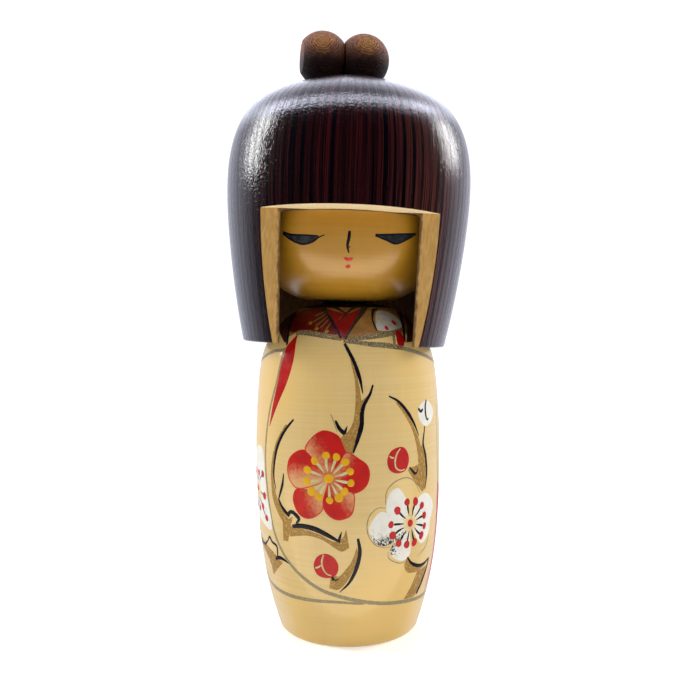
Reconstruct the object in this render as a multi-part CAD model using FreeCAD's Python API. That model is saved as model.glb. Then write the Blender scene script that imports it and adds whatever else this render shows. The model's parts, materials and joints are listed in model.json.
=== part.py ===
import FreeCAD, Part
import math
import os

# Kokeshi doll, turned in wood. Millimetres, +Z up, the face looks along -Y.
# The origin is the centre of the flat base on which the doll stands.
#
# Body (stands still): body, neck_peg.
# Head (turns on the neck peg): head_core, hair_shell, crown_dowel, bun_left,
# bun_right, bun_pin_left, bun_pin_right.

Vector = FreeCAD.Vector

# ---- Driving dimensions ----------------------------------------------------

# Body: a solid turned block, slightly barrelled, with a rounded shoulder.
BASE_R = 23.2
BASE_EDGE = 0.6
BODY_MAX_R = 31.0
BODY_MAX_Z = 61.0
BODY_TOP_R = 9.5
BODY_TOP_Z = 106.8

# Neck: the bore was drilled a little off centre and out of plumb, so the
# whole head leans slightly to one side.
NECK_Z = 107.0
NECK_OFFSET_X = -0.7
HEAD_LEAN_DEG = 2.3
CHIN_Z = 107.7
SEAT_R = 7.5
SEAT_ROOT = 3.0
SEAT_GAP = 0.2
PEG_R = 4.0
PEG_IN_BODY = 22.0
PEG_IN_HEAD = 12.0
PEG_CHAMFER = 0.5
PEG_CLEARANCE = 0.05
PEG_END_ROOM = 1.0

# Head core: a cylinder with a large round under the chin.
CORE_R = 32.3
CHIN_ROUND = 23.0
CEILING_Z = 134.2

# Hair: a solid cap over a hollow shell, open below and in front.
MOUTH_Z = 93.7
MOUTH_R = 33.9
MOUTH_EDGE = 0.3
MOUTH_BORE_R = 32.5
LIP_BORE_R = 36.5
BORE_FILLET = 1.5
HAIR_MAX_R = 40.9
HAIR_MAX_Z = 147.0
CROWN_Z = 182.4
CROWN_SIDE_R = 23.5
CROWN_SIDE_Z = 177.1

# Face window, sawn out of the shell by two flat cuts that meet in a corner.
CHEEK_Y = -29.85
CHEEK_TILT_DEG = 6.4
WINDOW_TURN_DEG = 0.5
LIP_Z = 134.4
LIP_TILT_DEG = 2.0
SAWN_EDGE = 0.25
SHORTEST_SAWN_EDGE = 20.0

# Dowel that joins the core to the cap.
DOWEL_R = 5.0
DOWEL_IN_CORE = 10.0
DOWEL_IN_CAP = 14.0
DOWEL_CHAMFER = 0.5

# Buns: two turned beads side by side on the crown, flattened where they meet.
# The left one has another flat on its outer side. Each is given by its place
# along X, the height of its waist and its radius.
BUN_LEFT = (-10.44, 190.3, 8.85)
BUN_RIGHT = (3.5, 190.0, 8.72)
BUN_FOOT = 0.6
BUN_MEET_X = -3.15
BUN_MEET_TURN_DEG = 6.0
BUN_GAP = 0.06
BUN_FLAT_AT = 7.14
BUN_FLAT_TURN_DEG = 11.0
PIN_R = 1.5
PIN_IN_BUN = 9.0
PIN_IN_CAP = 6.0
PIN_CHAMFER = 0.3

# ---- Helpers ---------------------------------------------------------------


def point(radius, height):
    """A point of a turned outline, in the XZ plane."""
    return Vector(radius, 0, height)


def line(start, end):
    """A straight stretch of a turned outline."""
    return Part.makeLine(point(*start), point(*end))


def smooth(points, start_tangent, end_tangent):
    """A smooth curve through the points of a turned outline."""
    curve = Part.BSplineCurve()
    curve.interpolate(
        Points=[point(*p) for p in points],
        InitialTangent=point(*start_tangent),
        FinalTangent=point(*end_tangent),
    )
    return curve.toShape()


def round_corner(centre, radius, start_deg, end_deg):
    """A circular stretch, between two angles from the horizontal."""
    steps = [start_deg, (start_deg + end_deg) / 2, end_deg]
    angles = [math.radians(a) for a in steps]
    on_arc = [(centre[0] + radius * math.cos(a), centre[1] + radius * math.sin(a)) for a in angles]
    return Part.Arc(*[point(*p) for p in on_arc]).toShape()


def pole_to_waist(pole_height, waist_radius):
    """A quarter ellipse from a pole on the Z axis to the waist at height zero."""
    ellipse = Part.Ellipse(point(0, pole_height), point(waist_radius, 0), point(0, 0))
    return Part.ArcOfEllipse(ellipse, 0, math.pi / 2).toShape()


def turned(edges):
    """The solid swept by a closed outline about the Z axis."""
    face = Part.Face(Part.Wire(edges))
    return face.revolve(Vector(0, 0, 0), Vector(0, 0, 1), 360)


def rod(radius, bottom, top, x=0.0, chamfer=0.0):
    """An upright dowel or bore, with chamfered ends where asked."""
    solid = Part.makeCylinder(radius, top - bottom, Vector(x, 0, bottom))
    if chamfer:
        rims = [edge for edge in solid.Edges if isinstance(edge.Curve, Part.Circle)]
        solid = solid.makeChamfer(chamfer, rims)
    return solid


def on_neck(shape):
    """A head piece moved from the upright head to its leaning place."""
    placed = shape.copy()
    placed.rotate(Vector(0, 0, NECK_Z), Vector(0, 1, 0), HEAD_LEAN_DEG)
    placed.translate(Vector(NECK_OFFSET_X, 0, 0))
    return placed


# ---- Body ------------------------------------------------------------------


def body():
    """The turned block, with a leaning neck bore and a low round seat square to it."""
    side = [
        (BASE_R, BASE_EDGE),
        (27.7, 17.0),
        (30.4, 40.0),
        (BODY_MAX_R, BODY_MAX_Z),
        (30.0, 81.0),
        (26.7, 95.0),
        (20.8, 102.2),
        (BODY_TOP_R, BODY_TOP_Z),
    ]
    block = turned([
        line((0, 0), (BASE_R - BASE_EDGE, 0)),
        line((BASE_R - BASE_EDGE, 0), (BASE_R, BASE_EDGE)),
        smooth(side, (0.33, 1.0), (-1.0, 0.15)),
        line((BODY_TOP_R, BODY_TOP_Z), (0, BODY_TOP_Z)),
        line((0, BODY_TOP_Z), (0, 0)),
    ])
    seat = rod(SEAT_R, BODY_TOP_Z - SEAT_ROOT, CHIN_Z - SEAT_GAP)
    bore = rod(PEG_R, NECK_Z - PEG_IN_BODY, CHIN_Z + 1)
    return block.fuse(on_neck(seat)).cut(on_neck(bore))


def neck_peg():
    """The peg glued in the body, on which the head turns."""
    return on_neck(rod(PEG_R, NECK_Z - PEG_IN_BODY, NECK_Z + PEG_IN_HEAD, chamfer=PEG_CHAMFER))


# ---- Head ------------------------------------------------------------------


def head_core():
    """The block that carries the face, bored for the neck peg and the dowel."""
    chin_edge = CORE_R - CHIN_ROUND
    chin_end = CHIN_Z + CHIN_ROUND
    block = turned([
        line((0, CHIN_Z), (chin_edge, CHIN_Z)),
        round_corner((chin_edge, chin_end), CHIN_ROUND, -90, 0),
        line((CORE_R, chin_end), (CORE_R, CEILING_Z)),
        line((CORE_R, CEILING_Z), (0, CEILING_Z)),
        line((0, CEILING_Z), (0, CHIN_Z)),
    ])
    peg_bore = rod(PEG_R + PEG_CLEARANCE, CHIN_Z - 1, NECK_Z + PEG_IN_HEAD + PEG_END_ROOM)
    dowel_bore = rod(DOWEL_R, CEILING_Z - DOWEL_IN_CORE, CEILING_Z + 1)
    return on_neck(block.cut(peg_bore).cut(dowel_bore))


def crown_dowel():
    """The dowel glued in the core and in the cap above it."""
    return on_neck(rod(DOWEL_R, CEILING_Z - DOWEL_IN_CORE, CEILING_Z + DOWEL_IN_CAP,
                       chamfer=DOWEL_CHAMFER))


def hair_blank():
    """The hair's solid outer form, before it is bored and sawn."""
    side = [
        (MOUTH_R, MOUTH_Z + MOUTH_EDGE),
        (37.9, 115.0),
        (40.1, 132.0),
        (HAIR_MAX_R, HAIR_MAX_Z),
        (39.3, 160.3),
        (34.1, 170.5),
        (CROWN_SIDE_R, CROWN_SIDE_Z),
        (0, CROWN_Z),
    ]
    return turned([
        line((0, MOUTH_Z), (MOUTH_R - MOUTH_EDGE, MOUTH_Z)),
        line((MOUTH_R - MOUTH_EDGE, MOUTH_Z), (MOUTH_R, MOUTH_Z + MOUTH_EDGE)),
        smooth(side, (0.23, 1.0), (-1.0, 0)),
        line((0, CROWN_Z), (0, MOUTH_Z)),
    ])


def hair_bore():
    """The slightly conical hollow that takes the core, with a filleted ceiling."""
    slope = (LIP_BORE_R - MOUTH_BORE_R) / (CEILING_Z - MOUTH_Z)
    below = MOUTH_Z - 2
    fillet_end = CEILING_Z - BORE_FILLET
    wall_top = LIP_BORE_R - slope * BORE_FILLET
    return turned([
        line((0, below), (MOUTH_BORE_R - 2 * slope, below)),
        line((MOUTH_BORE_R - 2 * slope, below), (wall_top, fillet_end)),
        round_corner((wall_top - BORE_FILLET, fillet_end), BORE_FILLET, 0, 90),
        line((wall_top - BORE_FILLET, CEILING_Z), (0, CEILING_Z)),
        line((0, CEILING_Z), (0, below)),
    ])


def face_window():
    """The wedge that the two saw cuts take away: cheeks behind, lip above."""
    reach = 2 * HAIR_MAX_R
    corner = Vector(0, CHEEK_Y, LIP_Z)
    cheek = math.radians(CHEEK_TILT_DEG)
    lip = math.radians(LIP_TILT_DEG)
    foot = corner + Vector(0, math.sin(cheek), -math.cos(cheek)) * reach
    front = corner + Vector(0, -math.cos(lip), math.sin(lip)) * reach
    far = Vector(0, front.y, foot.z)
    outline = Part.makePolygon([corner, foot, far, front, corner])
    outline.translate(Vector(-reach / 2, 0, 0))
    wedge = Part.Face(outline).extrude(Vector(reach, 0, 0))
    wedge.rotate(Vector(0, 0, 0), Vector(0, 0, 1), WINDOW_TURN_DEG)
    return wedge


def pin_span(x):
    """Bottom and top of the pin that holds the bun at this place."""
    crown_here = CROWN_Z - (CROWN_Z - CROWN_SIDE_Z) * (x / CROWN_SIDE_R) ** 2
    return crown_here - PIN_IN_CAP, crown_here + PIN_IN_BUN


def bun_pin(x):
    """The pin glued in a bun and in the crown below it."""
    bottom, top = pin_span(x)
    return on_neck(rod(PIN_R, bottom, top, x, PIN_CHAMFER))


def ease_window(shell):
    """Sand the outer edges of the window slightly round."""
    outer_edges = []
    for edge in shell.Edges:
        middle = edge.valueAt((edge.FirstParameter + edge.LastParameter) / 2)
        in_front = middle.y < CHEEK_Y / 2
        outside = math.hypot(middle.x, middle.y) > LIP_BORE_R
        if in_front and outside and edge.Length > SHORTEST_SAWN_EDGE:
            outer_edges.append(edge)
    return shell.makeFillet(SAWN_EDGE, outer_edges)


def hair_shell():
    """The hair: bored from below, sawn open in front, drilled for dowel and pins."""
    shell = ease_window(hair_blank().cut(hair_bore()).cut(face_window()))
    shell = shell.cut(rod(DOWEL_R, CEILING_Z - 1, CEILING_Z + DOWEL_IN_CAP))
    for x in (BUN_LEFT[0], BUN_RIGHT[0]):
        bottom, top = pin_span(x)
        shell = shell.cut(rod(PIN_R, bottom, top, x))
    return on_neck(shell)


def bun(x, centre_z, radius, flats):
    """A turned bead, hollowed underneath to sit on the crown, drilled for its pin.

    Each flat is given by its distance from the bead's axis and its direction,
    in degrees round from +X.
    """
    bead = turned([
        pole_to_waist(-radius - BUN_FOOT, radius),
        pole_to_waist(radius, radius),
        line((0, radius), (0, -radius - BUN_FOOT)),
    ])
    for distance, direction in flats:
        slab = Part.makeBox(radius, 4 * radius, 4 * radius,
                            Vector(distance, -2 * radius, -2 * radius))
        slab.rotate(Vector(0, 0, 0), Vector(0, 0, 1), direction)
        bead = bead.cut(slab)
    bead.translate(Vector(x, 0, centre_z))
    bottom, top = pin_span(x)
    bead = bead.cut(hair_blank()).cut(rod(PIN_R, bottom, top, x))
    return on_neck(bead)


def bun_left():
    """The bead with two flats: one against its neighbour, one outside."""
    meeting = (BUN_MEET_X - BUN_LEFT[0]) * math.cos(math.radians(BUN_MEET_TURN_DEG)) - BUN_GAP / 2
    return bun(*BUN_LEFT, [(meeting, BUN_MEET_TURN_DEG), (BUN_FLAT_AT, 180 + BUN_FLAT_TURN_DEG)])


def bun_right():
    """The bead with one flat, against its neighbour."""
    meeting = (BUN_RIGHT[0] - BUN_MEET_X) * math.cos(math.radians(BUN_MEET_TURN_DEG)) - BUN_GAP / 2
    return bun(*BUN_RIGHT, [(meeting, 180 + BUN_MEET_TURN_DEG)])


# ---- Output ----------------------------------------------------------------

PIECES = {
    "body": body(),
    "neck_peg": neck_peg(),
    "head_core": head_core(),
    "crown_dowel": crown_dowel(),
    "hair_shell": hair_shell(),
    "bun_left": bun_left(),
    "bun_right": bun_right(),
    "bun_pin_left": bun_pin(BUN_LEFT[0]),
    "bun_pin_right": bun_pin(BUN_RIGHT[0]),
}

os.makedirs("parts", exist_ok=True)
for name, shape in PIECES.items():
    box = shape.BoundBox
    print(name, len(shape.Solids), shape.isValid(), round(shape.Volume, 1),
          [round(v, 2) for v in (box.XMin, box.XMax, box.YMin, box.YMax, box.ZMin, box.ZMax)])
    shape.exportStep("parts/" + name + ".step")
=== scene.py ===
import json
import math
import random

import bmesh
import bpy
from mathutils import Matrix, Vector
from mathutils.bvhtree import BVHTree

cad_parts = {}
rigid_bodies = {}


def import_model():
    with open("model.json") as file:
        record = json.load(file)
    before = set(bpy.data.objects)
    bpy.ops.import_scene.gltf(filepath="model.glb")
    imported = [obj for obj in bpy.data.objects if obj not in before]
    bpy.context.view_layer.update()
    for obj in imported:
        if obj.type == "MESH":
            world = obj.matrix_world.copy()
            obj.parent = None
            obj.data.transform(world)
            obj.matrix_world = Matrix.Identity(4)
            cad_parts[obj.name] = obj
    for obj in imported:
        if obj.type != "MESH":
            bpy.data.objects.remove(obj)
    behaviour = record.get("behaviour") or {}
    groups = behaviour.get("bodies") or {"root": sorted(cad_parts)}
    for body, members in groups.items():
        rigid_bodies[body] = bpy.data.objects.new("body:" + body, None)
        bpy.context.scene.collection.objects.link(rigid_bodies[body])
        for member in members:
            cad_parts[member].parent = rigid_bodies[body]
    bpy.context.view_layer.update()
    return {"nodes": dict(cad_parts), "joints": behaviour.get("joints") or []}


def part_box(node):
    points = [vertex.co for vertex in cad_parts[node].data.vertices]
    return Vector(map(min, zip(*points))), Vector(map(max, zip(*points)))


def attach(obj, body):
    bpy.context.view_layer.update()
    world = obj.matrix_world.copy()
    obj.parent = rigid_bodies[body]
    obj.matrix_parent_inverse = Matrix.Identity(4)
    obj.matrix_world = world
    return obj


# Kokeshi doll: turned wood with painted and lacquered decoration.
# Drawings are laid out on unrolled surfaces, in millimetres: the first number
# runs round the surface from the middle of the front towards the doll's left,
# the second is the height.

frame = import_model()
for stray in [o for o in bpy.data.objects if o.name in ("Cube", "Light", "Camera")]:
    bpy.data.objects.remove(stray)

random.seed(7)
MM = 0.001
NODES = frame["nodes"]
TURN = frame["joints"][0]
TORSO, HEAD = TURN["parent"], TURN["child"]

# The head's own upright frame, leaning about the middle of the neck.
NECK = Vector(TURN["pos_m"])
LEAN = Vector(TURN["axis"]).normalized().angle(Vector((0, 0, 1)))
UPRIGHT = Matrix.Identity(4)
HEAD_PLACE = (
    Matrix.Translation(NECK)
    @ Matrix.Rotation(LEAN, 4, "Y")
    @ Matrix.Translation(Vector((0, 0, -NECK.z)))
)


def add(name, data):
    """A new object in the scene."""
    made = bpy.data.objects.new(name, data)
    bpy.context.scene.collection.objects.link(made)
    return made


# ---- Turned surfaces ----


class Turned:
    """The outer surface of a turned CAD node, unrolled at a fixed girth."""

    SLICE = 0.5 * MM
    SPOKES = 24
    OUTSIDE = 80 * MM

    def __init__(self, node, place, girth, low, high):
        mesh = NODES[node].data
        corners = [v.co for v in mesh.vertices]
        faces = [p.vertices for p in mesh.polygons]
        self.tree = BVHTree.FromPolygons(corners, faces)
        self.place = place
        self.girth = girth * MM
        self.low = low * MM
        count = int((high - low) * MM / self.SLICE) + 1
        self.radii = [self.widest(self.low + i * self.SLICE) for i in range(count)]

    def widest(self, height):
        """Radius of the round section at this height."""
        best = 0.0
        for i in range(self.SPOKES):
            angle = math.tau * i / self.SPOKES
            spoke = Vector((math.sin(angle), -math.cos(angle), 0))
            start = self.place @ (spoke * self.OUTSIDE + Vector((0, 0, height)))
            end = self.place @ Vector((0, 0, height))
            hit = self.tree.ray_cast(start, (end - start).normalized(), self.OUTSIDE)
            if hit[0]:
                best = max(best, (end - hit[0]).length)
        return best

    def radius(self, height):
        at = (height - self.low) / self.SLICE
        i = min(max(int(at), 0), len(self.radii) - 2)
        return self.radii[i] + (self.radii[i + 1] - self.radii[i]) * (at - i)

    def point(self, around, height, lift):
        """The place on the surface of a point of the drawing, raised by lift."""
        height = height * MM
        angle = around * MM / self.girth
        radius = self.radius(height)
        above, below = self.radius(height + self.SLICE), self.radius(height - self.SLICE)
        slope = (above - below) / (2 * self.SLICE)
        out = Vector((math.sin(angle), -math.cos(angle), 0))
        normal = (out - Vector((0, 0, slope))).normalized()
        return self.place @ (out * radius + Vector((0, 0, height)) + normal * lift * MM)


# ---- Brushwork ----


def spline(points, step, closed=False):
    """Evenly spaced points on a smooth curve through the given ones."""
    pts = [Vector(p) for p in points]
    count = len(pts)
    if count == 2:
        steps = max(2, round((pts[1] - pts[0]).length / step))
        return [pts[0].lerp(pts[1], i / steps) for i in range(steps + 1)]

    def near(i):
        return pts[i % count] if closed else pts[min(max(i, 0), count - 1)]

    out = []
    for i in range(count if closed else count - 1):
        a, b, c, d = near(i - 1), near(i), near(i + 1), near(i + 2)
        span = (c - b).length
        leave = (c - a) / max((b - a).length + span, 1e-6) * span
        arrive = (d - b) / max((d - c).length + span, 1e-6) * span
        steps = max(1, round(span / step))
        for k in range(steps):
            t = k / steps
            out.append(
                b * (2 * t**3 - 3 * t**2 + 1)
                + leave * (t**3 - 2 * t**2 + t)
                + c * (3 * t**2 - 2 * t**3)
                + arrive * (t**3 - t**2)
            )
    if not closed:
        out.append(pts[-1])
    return out


def resample(path, count):
    """The given number of points, evenly spaced along a path."""
    lengths = [0.0]
    for a, b in zip(path, path[1:]):
        lengths.append(lengths[-1] + (b - a).length)
    out = []
    j = 0
    for i in range(count):
        at = lengths[-1] * i / (count - 1)
        while j < len(path) - 2 and lengths[j + 1] < at:
            j += 1
        share = (at - lengths[j]) / max(lengths[j + 1] - lengths[j], 1e-9)
        out.append(path[j].lerp(path[j + 1], min(max(share, 0), 1)))
    return out


class Film:
    """One kind of paint on one surface, as a thin film that follows it."""

    STROKE_STEP = 0.45
    BAND_STEP = 0.4
    BAND_COLUMN = 0.7
    FILL_STEP = 0.5
    FILL_RING = 0.8
    FILL_SHARE = 0.95
    DOT_SIDES = 20
    DOT_RINGS = ((0.35, 1.0), (0.7, 0.75), (0.92, 0.35), (1.0, 0.0))

    def __init__(self, name, surface, body, slot, material, lift):
        self.name, self.surface, self.body, self.slot = name, surface, body, slot
        self.material, self.lift = material, lift
        self.points, self.faces = [], []
        self.marks = {"fade": [], "along": [], "edge": []}

    def corner(self, place, lift, fade=0.0, along=0.0, edge=0.0):
        self.points.append(self.surface.point(place[0], place[1], lift))
        for key, value in (("fade", fade), ("along", along), ("edge", edge)):
            self.marks[key].append(value)
        return len(self.points) - 1

    def weave(self, rows):
        """Faces between rows of corners of equal length."""
        for low, high in zip(rows, rows[1:]):
            for i in range(len(low) - 1):
                self.faces.append((low[i], low[i + 1], high[i + 1], high[i]))

    def stroke(self, points, width, ends=(0.45, 0.1), belly=0.4):
        """A brush stroke that swells from its ends to its belly."""
        path = spline(points, self.STROKE_STEP)
        rows = []
        along = 0.0
        for i, here in enumerate(path):
            t = i / (len(path) - 1)
            if t < belly:
                share = ends[0] + (1 - ends[0]) * math.sin(t / belly * math.pi / 2)
            else:
                share = ends[1] + (1 - ends[1]) * math.cos((t - belly) / (1 - belly) * math.pi / 2)
            half = width / 2 * share * (1 + random.uniform(-0.05, 0.05))
            ahead = path[min(i + 1, len(path) - 1)] - path[max(i - 1, 0)]
            side = Vector((-ahead.y, ahead.x)).normalized()
            along += (here - path[max(i - 1, 0)]).length
            row = []
            for across in (-1, -0.75, 0, 0.75, 1):
                lift = 0.0 if abs(across) == 1 or i in (0, len(path) - 1) else self.lift
                row.append(self.corner(here + side * half * across, lift, t, along, across))
            rows.append(row)
        self.weave(rows)

    def strokes(self, table):
        """One stroke for each row of the table."""
        for row in table:
            self.stroke(*row)

    def band(self, left, right, fade=None, extra=0.0):
        """A patch between two edges that are both drawn in the same direction."""
        left, right = spline(left, self.BAND_STEP), spline(right, self.BAND_STEP)
        count = max(len(left), len(right), 3)
        left, right = resample(left, count), resample(right, count)
        wide = max((a - b).length for a, b in zip(left, right))
        columns = max(4, round(wide / self.BAND_COLUMN))
        rows = []
        for i, (a, b) in enumerate(zip(left, right)):
            t = i / (count - 1)
            row = []
            for j in range(columns + 1):
                u = j / columns
                edge = 2 * u - 1
                place = a.lerp(b, u)
                lift = 0.0 if j in (0, columns) or i in (0, count - 1) else self.lift + extra
                amount = fade(place) if fade else t
                row.append(self.corner(place, lift, amount, i * self.BAND_STEP, edge))
            rows.append(row)
        self.weave(rows)

    def fill(self, centre, outline, fade=None, extra=0.0, bare=None):
        """A patch inside a closed outline that can all be seen from its centre."""
        centre = Vector(centre)
        rim = spline(outline, self.FILL_STEP, closed=True)
        reach = max((place - centre).length for place in rim)
        count = max(3, math.ceil(reach / self.FILL_RING))
        loops = []
        for ring in [(i + 1) / count * self.FILL_SHARE for i in range(count)] + [1.0]:
            lift = 0.0 if ring == 1.0 else self.lift + extra
            loop = []
            for place in rim:
                here = centre.lerp(place, ring)
                shown = bare(here) if bare else 0.0
                loop.append(self.corner(here, lift, fade(here) if fade else 0.0, shown, ring))
            loops.append(loop + loop[:1])
        self.weave(loops)
        shown = bare(centre) if bare else 0.0
        middle = self.corner(centre, self.lift + extra, fade(centre) if fade else 0.0, shown)
        first = loops[0]
        for i in range(len(first) - 1):
            self.faces.append((first[i], middle, first[i + 1]))

    def dot(self, centre, wide, tall, dome=0.06):
        """A round drop of paint, thicker in its middle."""
        centre = Vector(centre)
        lean = random.uniform(0, math.tau)
        loops = []
        for ring, height in self.DOT_RINGS:
            loop = []
            for k in range(self.DOT_SIDES):
                angle = math.tau * k / self.DOT_SIDES
                uneven = 1 + 0.05 * math.sin(2 * angle + lean) + 0.03 * math.sin(3 * angle + 2 * lean)
                offset = Vector((wide * math.cos(angle), tall * math.sin(angle))) * uneven / 2
                lift = self.lift + dome * height if height else 0.0
                loop.append(self.corner(centre + offset * ring, lift, lean / math.tau, 0.0, ring))
            loops.append(loop + loop[:1])
        self.weave(loops)
        middle = self.corner(centre, self.lift + dome * 1.08, lean / math.tau)
        for i in range(self.DOT_SIDES):
            self.faces.append((loops[0][i], middle, loops[0][i + 1]))

    def make(self):
        """The film as a piece that rides on its body."""
        mesh = bpy.data.meshes.new(self.name)
        mesh.from_pydata(self.points, [], self.faces)
        for key, values in self.marks.items():
            mark = mesh.attributes.new(key, "FLOAT", "POINT")
            mark.data.foreach_set("value", values)
        mesh.polygons.foreach_set("use_smooth", [True] * len(mesh.polygons))
        mesh.materials.append(self.material)
        mesh.validate()
        mesh.update()
        piece = add(self.name, mesh)
        face_outwards(mesh)
        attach(piece, self.body)
        return piece


def face_outwards(mesh):
    """Turn the film's faces away from the doll's middle."""
    work = bmesh.new()
    work.from_mesh(mesh)
    work.normal_update()
    for face in work.faces:
        middle = face.calc_center_median()
        if face.normal.dot(Vector((middle.x, middle.y, 0))) < 0:
            face.normal_flip()
    work.to_mesh(mesh)
    work.free()


# ---- Materials ----


BODY_GROUND = (0.68, 0.49, 0.20)
LACQUER = {"Roughness": 0.42, "Coat_Weight": 0.09, "Coat_Roughness": 0.14, "Specular_IOR_Level": 0.12}


class Nodes:
    """A node tree, with short names for the nodes it is made of."""

    def __init__(self, tree):
        self.tree = tree

    def feed(self, socket, value):
        """Link a socket to a value that varies, or set it to one that doesn't."""
        if isinstance(value, bpy.types.NodeSocket):
            self.tree.links.new(value, socket)
        else:
            socket.default_value = value

    def node(self, kind, inputs=(), **properties):
        made = self.tree.nodes.new("ShaderNode" + kind)
        for key, value in properties.items():
            setattr(made, key, value)
        for key, value in dict(inputs).items():
            self.feed(made.inputs[key], value)
        return made

    def math(self, operation, *values):
        return self.node("Math", dict(enumerate(values)), operation=operation).outputs[0]

    def times(self, a, b):
        return self.math("MULTIPLY", a, b)

    def plus(self, a, b):
        return self.math("ADD", a, b)

    def centred(self, value):
        """A noise value moved so that its middle is at 0."""
        return self.math("SUBTRACT", value, 0.5)

    def parts(self, vector):
        return self.node("SeparateXYZ", {0: vector}).outputs

    def reach(self, parts):
        """Distance from the upright axis."""
        squares = self.plus(self.times(parts[0], parts[0]), self.times(parts[1], parts[1]))
        return self.math("SQRT", squares)

    def scaled(self, vector, scale):
        return self.node("VectorMath", {0: vector, 1: scale}, operation="MULTIPLY").outputs[0]

    def noise(self, vector, scale, detail=3.0, roughness=0.5):
        settings = {"Vector": vector, "Scale": scale, "Detail": detail, "Roughness": roughness}
        return self.node("TexNoise", settings).outputs["Fac"]

    def span(self, value, low, high, to_low=0.0, to_high=1.0):
        settings = {"Value": value, "From Min": low, "From Max": high, "To Min": to_low, "To Max": to_high}
        return self.node("MapRange", settings, interpolation_type="SMOOTHSTEP").outputs[0]

    def mix(self, share, a, b, blend="MIX"):
        made = self.node("Mix", data_type="RGBA", blend_type=blend)
        for index, value in ((0, share), (6, a), (7, b)):
            self.feed(made.inputs[index], (*value, 1.0) if isinstance(value, tuple) else value)
        return made.outputs[2]


class Finish(Nodes):
    """A procedural material."""

    def __init__(self, name, **settings):
        self.material = bpy.data.materials.new(name)
        self.material.use_nodes = True
        super().__init__(self.material.node_tree)
        self.shader = self.tree.nodes["Principled BSDF"]
        for key, value in settings.items():
            self.shader.inputs[key.replace("_", " ")].default_value = value

    def shade(self, socket, value):
        self.tree.links.new(value, self.shader.inputs[socket])

    def mark(self, name):
        return self.node("Attribute", attribute_name=name).outputs["Fac"]

    def place(self, lean=False):
        """Coordinates of the piece, upright even where the head leans."""
        where = self.node("TexCoord").outputs["Object"]
        if not lean:
            return where
        back = HEAD_PLACE.inverted()
        turn = back.to_euler()
        shift = back.to_translation()
        mapping = self.node("Mapping", {"Vector": where, "Location": shift, "Rotation": turn})
        return mapping.outputs[0]

    def bump(self, height, strength, distance):
        made = self.node("Bump", {"Height": height, "Strength": strength, "Distance": distance})
        self.shade("Normal", made.outputs[0])


def turned_wood(name, lean, pale, deep, patch, **settings):
    """Pale close-grained wood, with fine lathe lines and long faint grain."""
    wood = Finish(name, **settings)
    where = wood.place(lean)
    lathe = wood.noise(wood.scaled(where, (18, 18, 1900)), 1.0, 3.0, 0.6)
    grain = wood.noise(wood.scaled(where, (520, 520, 9)), 1.0, 3.0, 0.6)
    cloud = wood.noise(where, 24.0, 3.0)
    chatter = wood.span(wood.noise(where, 55.0, 1.0), 0.5, 0.62)
    tone = wood.plus(wood.times(lathe, 0.68), wood.times(grain, 0.32))
    colour = wood.mix(wood.span(tone, 0.3, 0.7), pale, deep)
    colour = wood.mix(wood.span(cloud, 0.42, 0.62, 0.0, 0.9), colour, patch)
    wood.shade("Base Color", colour)
    ripple = wood.times(lathe, wood.math("MULTIPLY_ADD", chatter, 1.2, 0.4))
    wood.bump(ripple, 0.06, 0.0002)
    wood.shade("Roughness", wood.span(tone, 0.3, 0.7, 0.36, 0.44))
    return wood.material


def striped_hair(name):
    """Stained wood with near-black lines that run down from the crown."""
    hair = Finish(name, Coat_Roughness=0.08, Specular_IOR_Level=0.05)
    where = hair.place(lean=True)
    parts = hair.parts(where)
    reach = hair.reach(parts)
    east = hair.math("DIVIDE", parts[0], reach)
    north = hair.math("DIVIDE", parts[1], reach)
    round_angle = hair.math("ARCTAN2", east, north)

    def ring(cells, drift, seed):
        """Noise that changes round the head and hardly at all down it."""
        made = hair.node("CombineXYZ", {
            0: hair.times(east, cells),
            1: hair.times(north, cells),
            2: hair.math("MULTIPLY_ADD", parts[2], drift, seed),
        })
        return made.outputs[0]

    def lines(count, stray, low, high, seed):
        """About this many uneven dark lines round the head."""
        bend = hair.noise(ring(count / 6.0, 7.0, seed), 1.0, 1.0)
        phase = hair.plus(hair.times(round_angle, float(count)), hair.times(bend, stray))
        wave = hair.math("SINE", phase)
        return hair.span(wave, low, high)

    strength = hair.span(hair.noise(ring(30.0, 18.0, 7.0), 1.0, 1.0), 0.30, 0.55, 0.25, 1.0)
    bold = hair.times(lines(84, 5.0, 0.0, 0.60, 3.0), strength)
    faint = hair.times(lines(190, 5.0, 0.0, 0.80, 40.0), 0.40)
    fine = hair.noise(ring(95.0, 40.0, 11.0), 1.0, 2.0, 0.6)
    # Painted light: the brown grows lighter towards +x, the doll's left, the side the light falls on more.
    tone = hair.span(east, 0.1, 0.8)
    patch = hair.noise(ring(4.0, 6.0, 17.0), 1.0, 1.0)
    brown = hair.mix(tone, (0.036, 0.0034, 0.0050), (0.090, 0.024, 0.018))
    brown = hair.mix(hair.span(patch, 0.40, 0.62, 0.0, 0.55), brown, (0.010, 0.0022, 0.0032))
    brown = hair.mix(hair.span(fine, 0.40, 0.65, 0.0, 0.8), brown, (0.006, 0.0018, 0.0026))
    dark = hair.math("MAXIMUM", bold, faint)
    hair.shade("Base Color", hair.mix(dark, brown, (0.0006, 0.0004, 0.0018)))
    hair.shade("Coat Weight", hair.span(dark, 0.0, 1.0, 1.0, 0.78))
    pores = hair.noise(hair.scaled(where, (2300, 2300, 1500)), 1.0, 1.0, 0.5)
    bump = hair.node("Bump", {"Height": pores, "Strength": 0.8, "Distance": 0.00012}).outputs[0]
    hair.shade("Normal", bump)
    hair.shade("Coat Normal", bump)
    hair.shade("Roughness", hair.span(pores, 0.3, 0.7, 0.28, 0.38))
    return hair.material


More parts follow.
